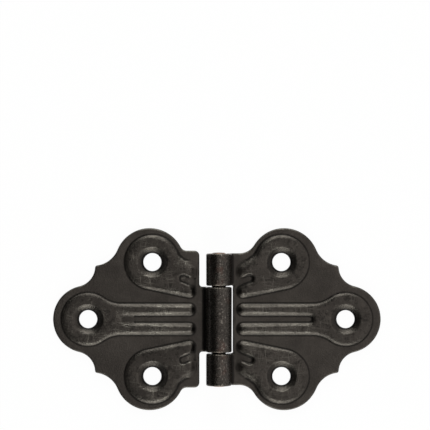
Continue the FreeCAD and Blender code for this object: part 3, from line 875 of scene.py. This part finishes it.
    def divide(self, piece: bpy.types.Object) -> None:
        """Divide the surface into even cells, so that it can be worked.

        Args:
            piece: The leaf's piece.
        """
        cells = piece.modifiers.new("even_cells", "REMESH")
        cells.mode = "VOXEL"
        cells.voxel_size = self.cell
        cells.use_smooth_shade = True
        view = bpy.context.evaluated_depsgraph_get()
        whole = piece.data
        piece.data = bpy.data.meshes.new_from_object(piece.evaluated_get(view))
        piece.modifiers.clear()
        bpy.data.meshes.remove(whole)
        piece.data.name = piece.name

    def work(self, mesh: bpy.types.Mesh) -> None:
        """Soften the stamping and leave the press's slight waves in the surface.

        Args:
            mesh: The leaf's mesh.
        """
        shape = bmesh.new()
        shape.from_mesh(mesh)
        self.soften(shape, shape.verts[:], self.even_passes)
        shape.normal_update()
        fingers = self.petal_fingers(shape)
        self.fill_slots(fingers)
        for start, passes in self.crest_steps:
            self.soften(shape, self.crests(shape, self.finger_start + start), passes)
        tips = self.crests(shape, self.finger_start, self.finger_start + self.tip_length)
        self.soften(shape, tips, self.tip_passes)
        self.soften(shape, fingers, self.fade_passes)
        self.soften(shape, self.outer_fingers(fingers), self.outer_passes)
        shape.normal_update()
        self.soften(shape, self.channel(shape), self.channel_passes)
        self.narrow_sinks(shape)
        self.soften(shape, self.dishes(shape), self.dish_passes)
        self.true_holes(shape)
        self.draw_edge(shape)
        shape.normal_update()
        for vertex in shape.verts:
            wave = noise.noise(vertex.co / self.wave_size)
            ripple = noise.noise(vertex.co * self.ripple_rate / self.wave_size)
            vertex.co += vertex.normal * ((wave + self.ripple_share * ripple) * self.wave_depth)
        shape.to_mesh(mesh)
        shape.free()
        mesh.shade_smooth()

    def soften(self, shape: bmesh.types.BMesh, vertices: Vertices, passes: int) -> None:
        """Round off part of the surface, against the rest, which stays.

        Args:
            shape: The leaf's shape.
            vertices: The part to round off.
            passes: How often to smooth it.
        """
        for _ in range(passes):
            bmesh.ops.smooth_vert(
                shape,
                verts=vertices,
                factor=0.5,
                use_axis_x=True,
                use_axis_y=True,
                use_axis_z=True,
            )

    def front(self, shape: bmesh.types.BMesh) -> Vertices:
        """Vertices of the leaf's front, outside its countersinks."""
        low = self.sheet - self.front_depth
        return [v for v in shape.verts if v.normal.z > self.front_facing and v.co.z > low]

    def crests(self, shape: bmesh.types.BMesh, start: float, end: float = math.inf) -> Vertices:
        """Vertices of the raised pattern above its foot and clear of the slots, between two distances."""
        low = self.sheet + self.foot
        return [v for v in shape.verts if v.co.z > low and start < abs(v.co.x) < end and not v.tag]

    def petal_fingers(self, shape: bmesh.types.BMesh) -> Vertices:
        """Find the petals' fingers and the slots between them.

        Args:
            shape: The leaf's shape.

        Returns:
            Vertices of the front round them.
        """
        start, end = (self.finger_start + reach for reach in self.petal_reach)
        near = [v for v in self.front(shape) if start < abs(v.co.x) < end]
        return [v for v in near if abs(v.co.y) > self.petal_inside]

    def from_slot(self, vertex: bmesh.types.BMVert) -> tuple[float, float]:
        """Place a vertex from the round end of a petal's slot.

        Args:
            vertex: The vertex.

        Returns:
            How far it is along the slot, and across it.
        """
        lean = math.radians(self.slot_lean)
        out = abs(vertex.co.x) - self.finger_start - self.slot_end[0]
        up = abs(vertex.co.y) - self.slot_end[1]
        return out * math.cos(lean) + up * math.sin(lean), up * math.cos(lean) - out * math.sin(lean)

    def outer_fingers(self, fingers: Vertices) -> Vertices:
        """Find the petals' outer fingers and the sheet beside them.

        Args:
            fingers: Vertices round the petals' fingers.

        Returns:
            Those of the outer ones.
        """
        inside = self.slot_half + self.slot_wall
        low = self.sheet - self.face_slack
        flat = [v for v in fingers if v.co.z > low and abs(v.co.y) < self.petal_outside]
        return [v for v in flat if self.from_slot(v)[1] > inside]

    def channel(self, shape: bmesh.types.BMesh) -> Vertices:
        """Find the outer end of the rib's channel.

        Args:
            shape: The leaf's shape.

        Returns:
            Vertices of the front round it.
        """
        length, width = self.channel_half
        near = [v for v in self.front(shape) if abs(abs(v.co.x) - self.channel_end) < length]
        return [v for v in near if abs(v.co.y) < width]

    def fill_slots(self, vertices: Vertices) -> None:
        """Leave the petals' slots shallow, with narrow walls, and tag the vertices in them.

        Args:
            vertices: Vertices round the petals' fingers.
        """
        outside = self.slot_half + self.slot_wall
        for vertex in vertices:
            reach = abs(vertex.co.x) - self.finger_start
            past, across = self.from_slot(vertex)
            aside = math.hypot(max(past, 0), across)
            if aside > self.slot_round * outside or reach < 0:
                continue
            mouth = min(reach / self.slot_mouth, 1)
            sunk = 1 - min(max((aside - self.slot_half) / self.slot_wall, 0), 1)
            crest = mouth * (self.rise - self.fall * reach)
            floor = min(self.slot_floor * mouth + self.slot_climb * reach, crest)
            vertex.co.z = max(vertex.co.z, self.sheet + crest + sunk * (floor - crest))
            vertex.tag = aside < outside and reach > self.tip_length / 2

    def narrow_sinks(self, shape: bmesh.types.BMesh) -> None:
        """Narrow each countersink, up to the crest round its hole.

        Args:
            shape: The leaf's shape.
        """
        start, end = self.crest_ring
        up = [v for v in shape.verts if v.normal.z > self.front_facing]
        for hole in self.holes:
            front = [v for v in up if (v.co.xy - hole.xy).length < end]
            ring = np.array([v.co for v in front if (v.co.xy - hole.xy).length > start])
            terms = np.column_stack((ring[:, :2], np.ones(len(ring))))
            lean_x, lean_y, height = np.linalg.lstsq(terms, ring[:, 2], rcond=None)[0]
            for vertex in front:
                sunk = max(self.sink_radius - (vertex.co.xy - hole.xy).length, 0) * self.sink_slope
                crest = lean_x * vertex.co.x + lean_y * vertex.co.y + height
                vertex.co.z = max(vertex.co.z, crest - sunk)

    def true_holes(self, shape: bmesh.types.BMesh) -> None:
        """Draw the rims of the screw holes in to the holes' radius.

        Args:
            shape: The leaf's shape.
        """
        edge = self.hole_radius + self.hole_rim
        for hole in self.holes:
            rim = [v for v in shape.verts if (v.co.xy - hole.xy).length < edge]
            least = min((v.co.xy - hole.xy).length for v in rim)
            for vertex in rim:
                away = vertex.co.xy - hole.xy
                share = (edge - away.length) / (edge - least)
                vertex.co.xy -= away.normalized() * (share * (least - self.hole_radius))

    def draw_edge(self, shape: bmesh.types.BMesh) -> None:
        """Draw the straight edge beside the middle knuckle towards the pin.

        Args:
            shape: The leaf's shape.
        """
        places = np.abs([vertex.co for vertex in shape.verts])
        shares = falling(places[:, 0], *self.edge_reach) * falling(places[:, 1], *self.edge_half)
        for vertex, share in zip(shape.verts, shares):
            vertex.co.x -= math.copysign(self.edge_shift * share, vertex.co.x)

    def dishes(self, shape: bmesh.types.BMesh) -> Vertices:
        """Find the dishes round the screw holes, clear of the holes themselves.

        Args:
            shape: The leaf's shape.

        Returns:
            Their vertices.
        """
        away = self.from_holes(np.array([vertex.co for vertex in shape.verts]))
        near = (away > self.hole_radius + self.hole_lip) & (away < self.dish_radius)
        return [v for v, dished in zip(shape.verts, near) if dished and v.co.z > self.sheet / 2]

    def from_holes(self, places: np.ndarray) -> np.ndarray:
        """Distance of each place from the axis of the nearest screw hole."""
        return np.min([np.hypot(*(places[:, :2] - hole.xy).T) for hole in self.holes], axis=0)

    def mark(self, mesh: bpy.types.Mesh) -> None:
        """Mark edges, hollows, raised parts, the edges that take painted shade, the knuckles and their
        rubbed ends, which also take a painted highlight, for the finish.

        Args:
            mesh: The leaf's mesh.
        """
        masks = self.masks
        places = vertex_rows(mesh, Reading.PLACE)
        bend = self.bend(mesh, places)
        store_mask(mesh, Mask.WEAR, rising(bend, 0, masks.full_wear))
        store_mask(mesh, Mask.RECESS, rising(-bend, 0, masks.full_hollow_dark))
        raised = rising(places[:, 2], self.sheet, masks.raised_height)
        store_mask(mesh, Mask.RAISED, raised * (np.abs(places[:, 0]) > self.finger_start))
        # Painted shade on the sheared walls, the holes' rims, the shoulders, the knuckles' faces and the
        # fingers' ends.
        store_mask(mesh, Mask.CUT, self.painted_shade_edges(mesh, places))
        past = self.barrel.across(places) - self.barrel.radius
        barrel = falling(past, *masks.barrel_edge)
        store_mask(mesh, Mask.BARREL, barrel)
        gap = np.abs(places[:, 1, None] - np.array(self.knuckle_ends)).min(axis=1)
        # Line at each knuckle's ends, rubbed lighter and partly a painted highlight.
        rub_and_shine = falling(gap, masks.rub_width, masks.rub_width) * rising(past, *masks.rub_edge)
        store_mask(mesh, Mask.RUB_AND_SHINE, rub_and_shine * barrel)

    def painted_shade_edges(self, mesh: bpy.types.Mesh, places: np.ndarray) -> np.ndarray:
        """Find where shade is painted: the sheared walls of the outline and the holes, the shoulders
        beside the barrel, the knuckles' faces and the fingers' ends.

        Args:
            mesh: The leaf's mesh.
            places: Where its vertices are.

        Returns:
            How much painted shade each vertex takes, from 0 to 1.
        """
        masks = self.masks
        facing = vertex_rows(mesh, Reading.FACING)
        along, up = np.abs(facing[:, 1]), np.abs(facing[:, 2])
        outside = self.barrel.across(places) > self.barrel.radius + masks.wall_start
        low = (places[:, 2] < self.sheet + self.face_slack) & outside
        wall = falling(up, *masks.wall_facing) * low
        shoulder = falling(up, *masks.shoulder_facing) * low
        shoulder *= np.abs(places[:, 0]) < self.finger_start
        rim = falling(self.from_holes(places) - self.hole_radius, *masks.rim_edge)
        gap = rising(along, *masks.gap_facing) * ~outside
        gap *= np.abs(places[:, 1]) < self.barrel.middle_half + 2 * self.barrel.gap
        return np.max([wall, shoulder, rim, gap, self.finger_end_shade(places, facing)], axis=0)

    def finger_end_shade(self, places: np.ndarray, facing: np.ndarray) -> np.ndarray:
        """Find the ends of the raised fingers, where they face the pin, which take painted shade.

        Args:
            places: Where the leaf's vertices are.
            facing: Which way they face.

        Returns:
            How dark the painted shade makes each vertex, from 0 to 1.
        """
        masks = self.masks
        middle, half = masks.tip_band
        reach = np.abs(places[:, 0]) - self.finger_start
        inward = -facing[:, 0] * np.sign(places[:, 0])
        ends = rising(inward, *masks.tip_facing) * (np.abs(reach - middle) < half)
        ends *= (places[:, 2] > self.sheet - self.front_depth) & (facing[:, 2] > 0)
        ends *= falling(np.abs(facing[:, 1]), *masks.tip_aside)
        inner = np.abs(places[:, 1]) < self.petal_inside + masks.tip_inner
        return ends * np.where(inner, *masks.tip_shares)

    def bend(self, mesh: bpy.types.Mesh, places: np.ndarray) -> np.ndarray:
        """Work out how far the surface bends at each vertex.

        Args:
            mesh: The leaf's mesh.
            places: Where its vertices are.

        Returns:
            The bend, above 0 on an edge and below 0 in a hollow.
        """
        ends = np.empty(len(mesh.edges) * 2, np.int32)
        mesh.edges.foreach_get("vertices", ends)
        first, second = ends.reshape(-1, 2).T
        count = np.bincount(ends, minlength=len(places))[:, None]

        def mean_of_neighbours(values: np.ndarray) -> np.ndarray:
            """Take the mean over the vertices that share an edge with each vertex.

            Args:
                values: One row a vertex.

            Returns:
                The means, one row a vertex.
            """
            total = np.zeros_like(values)
            np.add.at(total, first, values[second])
            np.add.at(total, second, values[first])
            return total / count

        inward = places - mean_of_neighbours(places)
        bend = (vertex_rows(mesh, Reading.FACING) * inward).sum(axis=1, keepdims=True) / self.cell
        for _ in range(self.masks.bend_passes):
            bend = (bend + mean_of_neighbours(bend)) / 2
        return bend[:, 0]


@dataclass
class HingePin:
    """The plain pin, its ends hammered to a low dome.

    Attributes:
        node: The solid that the pin stands for.
        body: The body that it rides on.
        slot: The record's slot for its finish; not used.
        dome: Rise of the dome on each end.
        corner: Rounding of the edge round each end.
        corner_steps: Steps in that rounding.
        bright: Length of the bright stretch at each end.
        bright_gain: How quickly the stretch brightens.
        sides: Sides of the round.
        join: Distance within which the turned ends' corners are one.
    """

    node: str = "hinge_pin"
    body: str = "fixed_leaf"
    slot: str = "pin_steel"
    dome: float = 0.1 * MM
    corner: float = 0.4 * MM
    corner_steps: int = 6
    bright: float = 1.0 * MM
    bright_gain: float = 1.4
    sides: int = 96
    join: float = 0.002 * MM

    def build(self, finish: bpy.types.Material) -> bpy.types.Object:
        """Make the pin's piece and dress it.

        Args:
            finish: The pin's material.

        Returns:
            The piece, in place.
        """
        low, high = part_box(self.node)
        radius = (high.x - low.x) / 2
        axis_height = (high.z + low.z) / 2
        mesh = bpy.data.meshes.new("worn_pin")
        shape = self.turned(radius, high.y)
        bmesh.ops.translate(shape, verts=shape.verts, vec=Vector((0, 0, axis_height)))
        shape.to_mesh(mesh)
        shape.free()
        mesh.shade_smooth()
        from_end = high.y - np.abs(vertex_rows(mesh, Reading.PLACE)[:, 1])
        # Bright stretch at each end, partly a painted highlight.
        store_mask(mesh, Mask.RUB_AND_SHINE, falling(from_end, self.bright, self.bright / self.bright_gain))
        mesh.materials.append(finish)
        piece = bpy.data.objects.new("worn_pin", mesh)
        bpy.context.scene.collection.objects.link(piece)
        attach(piece, self.body)
        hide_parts(self.node)
        return piece

    def turned(self, radius: float, half: float) -> bmesh.types.BMesh:
        """Half a pin's outline, turned about the Y axis.

        Args:
            radius: Radius of the pin.
            half: Half its length.

        Returns:
            The closed shape, about the origin.
        """
        shape = bmesh.new()
        rim = half - self.dome
        plain = half - self.bright
        outline = (0, -half), (radius, -rim), (radius, -plain), (radius, plain), (radius, rim), (0, half)
        points = [shape.verts.new((across, along, 0)) for across, along in outline]
        for start, end in zip(points, points[1:]):
            shape.edges.new((start, end))
        bmesh.ops.bevel(
            shape,
            geom=[points[1], points[4]],
            offset=self.corner,
            offset_type="OFFSET",
            segments=self.corner_steps,
            profile=0.5,
            affect="VERTICES",
            material=-1,
        )
        bmesh.ops.spin(
            shape,
            geom=shape.verts[:] + shape.edges[:],
            cent=(0, 0, 0),
            axis=(0, 1, 0),
            angle=math.tau,
            steps=self.sides,
            use_merge=True,
        )
        bmesh.ops.remove_doubles(shape, verts=shape.verts, dist=self.join)
        bmesh.ops.recalc_face_normals(shape, faces=shape.faces)
        return shape


@dataclass(frozen=True)
class SoftBox:
    """A soft rectangular lamp that faces the hinge.

    Attributes:
        name: The lamp's name.
        place: Where it stands.
        size: Its width and height.
        brightness: How bright its face looks, where white paper is 1.
        color: Color of its light.
    """

    name: str
    place: tuple[float, float, float]
    size: tuple[float, float]
    brightness: float
    color: Color = (0.96, 1.0, 0.95)

    def build(self) -> None:
        """Set up the lamp."""
        lamp = bpy.data.lights.new(self.name, "AREA")
        lamp.shape = "RECTANGLE"
        lamp.size, lamp.size_y = self.size
        lamp.energy = self.brightness * math.pi * self.size[0] * self.size[1]
        lamp.color = self.color
        stand = bpy.data.objects.new(self.name, lamp)
        stand.location = self.place
        stand.rotation_euler = (-Vector(self.place)).to_track_quat("-Z", "Y").to_euler()
        stand.visible_camera = False
        bpy.context.scene.collection.objects.link(stand)


@dataclass
class Studio:
    """White table, soft lamps round it and the camera over it.

    Attributes:
        pixel: Size of one pixel of the photograph on the leaves.
        frame_pixels: Side of the photograph.
        hinge_pixel: Where the photograph shows the pin's middle.
        camera_height: Height of the camera over the table.
        leaf_height: Height at which the photograph's scale holds.
        sensor: Width of the camera's sensor, in millimetres.
        floor_size: Side of the table.
        floor_gap: Gap between the leaves and the table.
        floor_glow: Share of the table that looks plain white, without shadow.
        paper: Color of the table where it takes the shadow.
        room_color: Color of the room's light.
        room_sides: Where the room's dark side ends and its light side starts, from -1 to 1 across it.
        room_light: Strength of the light from those sides.
        lamps: The soft lamps.
    """

    pixel: float = 0.23196 * MM
    frame_pixels: int = 430
    hinge_pixel: tuple[float, float] = (218.8, 319.3)
    camera_height: float = 0.5
    leaf_height: float = 1.5 * MM
    sensor: float = 36.0
    floor_size: float = 3.0
    floor_gap: float = 0.05 * MM
    floor_glow: float = 0.96
    paper: Color = (0.9, 0.9, 0.9)
    room_color: Color = (1.0, 0.99, 0.97)
    room_sides: Range = (-0.42, 0.1)
    room_light: Range = (0.01, 0.42)
    lamps: tuple[SoftBox, ...] = (
        SoftBox("far_box", (0.0, 0.58, 0.31), (0.55, 0.44), 4.6),
        SoftBox("near_box", (0.0, -0.58, 0.31), (0.55, 0.44), 4.6),
        SoftBox("top_box", (0.22, 0.0, 0.62), (0.25, 0.9), 0.8, (1.0, 0.98, 0.95)),
        SoftBox("right_box", (0.60, 0.0, 0.35), (0.6, 0.5), 0.36, (1.0, 0.98, 0.95)),
    )

    def build(self) -> None:
        """Set up the table, the light and the camera."""
        self.floor()
        self.surround()
        for lamp in self.lamps:
            lamp.build()
        self.camera()
        bpy.context.scene.view_settings.view_transform = "Standard"

    def floor(self) -> None:
        """Lay the white table, which looks white and keeps a faint shadow."""
        shape = bmesh.new()
        bmesh.ops.create_grid(shape, x_segments=1, y_segments=1, size=self.floor_size / 2)
        bmesh.ops.translate(shape, verts=shape.verts, vec=Vector((0, 0, -self.floor_gap)))
        mesh = bpy.data.meshes.new("table")
        shape.to_mesh(mesh)
        shape.free()
        table = bpy.data.objects.new("table", mesh)
        bpy.context.scene.collection.objects.link(table)
        mesh.materials.append(self.white())

    def white(self) -> bpy.types.Material:
        """Make the table's white: paper that the camera and the metal see as white.

        Returns:
            The material.
        """
        made = bpy.data.materials.new("table_white")
        made.use_nodes = True
        made.node_tree.nodes.clear()
        graph = Graph(made.node_tree)
        path = graph.add("ShaderNodeLightPath")
        seen = graph.math("MAXIMUM", path.outputs["Is Camera Ray"], path.outputs["Is Glossy Ray"])
        seen = graph.math("MAXIMUM", seen, path.outputs["Is Transmission Ray"])
        share = graph.math("MULTIPLY", seen, self.floor_glow)
        paper = graph.add("ShaderNodeBsdfDiffuse", {"Color": self.paper})
        glow = graph.add("ShaderNodeEmission", {"Color": (1.0, 1.0, 1.0), "Strength": 1.0})
        both = graph.add("ShaderNodeMixShader", {0: share, 1: paper.outputs[0], 2: glow.outputs[0]})
        graph.add("ShaderNodeOutputMaterial", {"Surface": both.outputs[0]})
        return made

    def surround(self) -> None:
        """Light the room: grey overhead, darker towards the left."""
        world = bpy.data.worlds.new("studio")
        world.use_nodes = True
        world.node_tree.nodes.clear()
        graph = Graph(world.node_tree)
        way = graph.add("ShaderNodeTexCoord").outputs["Generated"]
        split = graph.add("ShaderNodeSeparateXYZ", {0: way})
        light = graph.spread(split.outputs["X"], *self.room_sides, *self.room_light)
        back = graph.add("ShaderNodeBackground", {"Color": self.room_color, "Strength": light})
        graph.add("ShaderNodeOutputWorld", {"Surface": back.outputs[0]})
        bpy.context.scene.world = world

    def camera(self) -> None:
        """Hang the camera straight over the middle of the photograph's frame."""
        lens = bpy.data.cameras.new("camera")
        lens.sensor_width = self.sensor
        width = self.frame_pixels * self.pixel
        lens.lens = self.sensor * (self.camera_height - self.leaf_height) / width
        stand = bpy.data.objects.new("camera", lens)
        middle = self.frame_pixels / 2
        across = (middle - self.hinge_pixel[0]) * self.pixel
        along = (self.hinge_pixel[1] - middle) * self.pixel
        stand.location = (across, along, self.camera_height)
        bpy.context.scene.collection.objects.link(stand)
        bpy.context.scene.camera = stand


def screw_holes(record: dict, leaf: str) -> list[Vector]:
    """Find the screw holes of one leaf.

    Args:
        record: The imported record, whose mounts name the holes.
        leaf: Start of the names of the leaf's mounts.

    Returns:
        The middle of each hole.
    """
    holes = []
    for mount in record["mounts"]:
        if not mount["name"].startswith(leaf):
            continue
        place = Vector(mount["pos_m"])
        if mount["kind"] == "bolt_pattern":
            aside = Vector((0, mount["dims"]["spacing_y_mm"] * MM / 2, 0))
            holes += [place + aside, place - aside]
        elif mount["kind"] == "bore":
            holes.append(place)
    return holes


def main() -> None:
    """Build the hinge's pieces in order, then the studio."""
    logging.basicConfig(level=logging.INFO, format="%(name)s: %(message)s")
    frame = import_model()
    patina = Patina()
    scuffs = Scuffs()
    wear = EdgeWear()
    bronze = BronzedSteel().material(patina, scuffs, wear)
    steel = PinSteel().material(patina, scuffs)
    barrel = Barrel()
    leaves = (
        StampedLeaf(
            node="twin_knuckle_leaf",
            body="fixed_leaf",
            slot="leaf_steel",
            barrel=barrel,
            knuckle_ends=barrel.outer(),
            finger_start=4.4 * MM,
            crest_steps=((0.0, 19),),
            tip_passes=34,
            fade_passes=3,
            outer_passes=12,
            channel_passes=0,
            slot_floor=0.12 * MM,
            slot_mouth=2.2 * MM,
            edge_shift=0.17 * MM,
            holes=screw_holes(frame["record"], "twin_leaf"),
        ),
        StampedLeaf(
            node="center_knuckle_leaf",
            body="swinging_leaf",
            slot="leaf_steel",
            barrel=barrel,
            knuckle_ends=barrel.middle(),
            finger_start=5.5 * MM,
            crest_steps=((0.0, 7), (0.9 * MM, 7), (1.5 * MM, 12)),
            tip_passes=0,
            fade_passes=3,
            outer_passes=34,
            channel_passes=34,
            slot_floor=0.34 * MM,
            slot_mouth=1.1 * MM,
            edge_shift=0.0,
            holes=screw_holes(frame["record"], "center_leaf"),
        ),
    )
    for leaf in leaves:
        piece = leaf.build(frame["nodes"][leaf.node], bronze)
        LOG.info("%s: %d faces", piece.name, len(piece.data.polygons))
    pin = HingePin().build(steel)
    LOG.info("%s: %d faces", pin.name, len(pin.data.polygons))
    Studio().build()


if __name__ == "__main__":
    main()
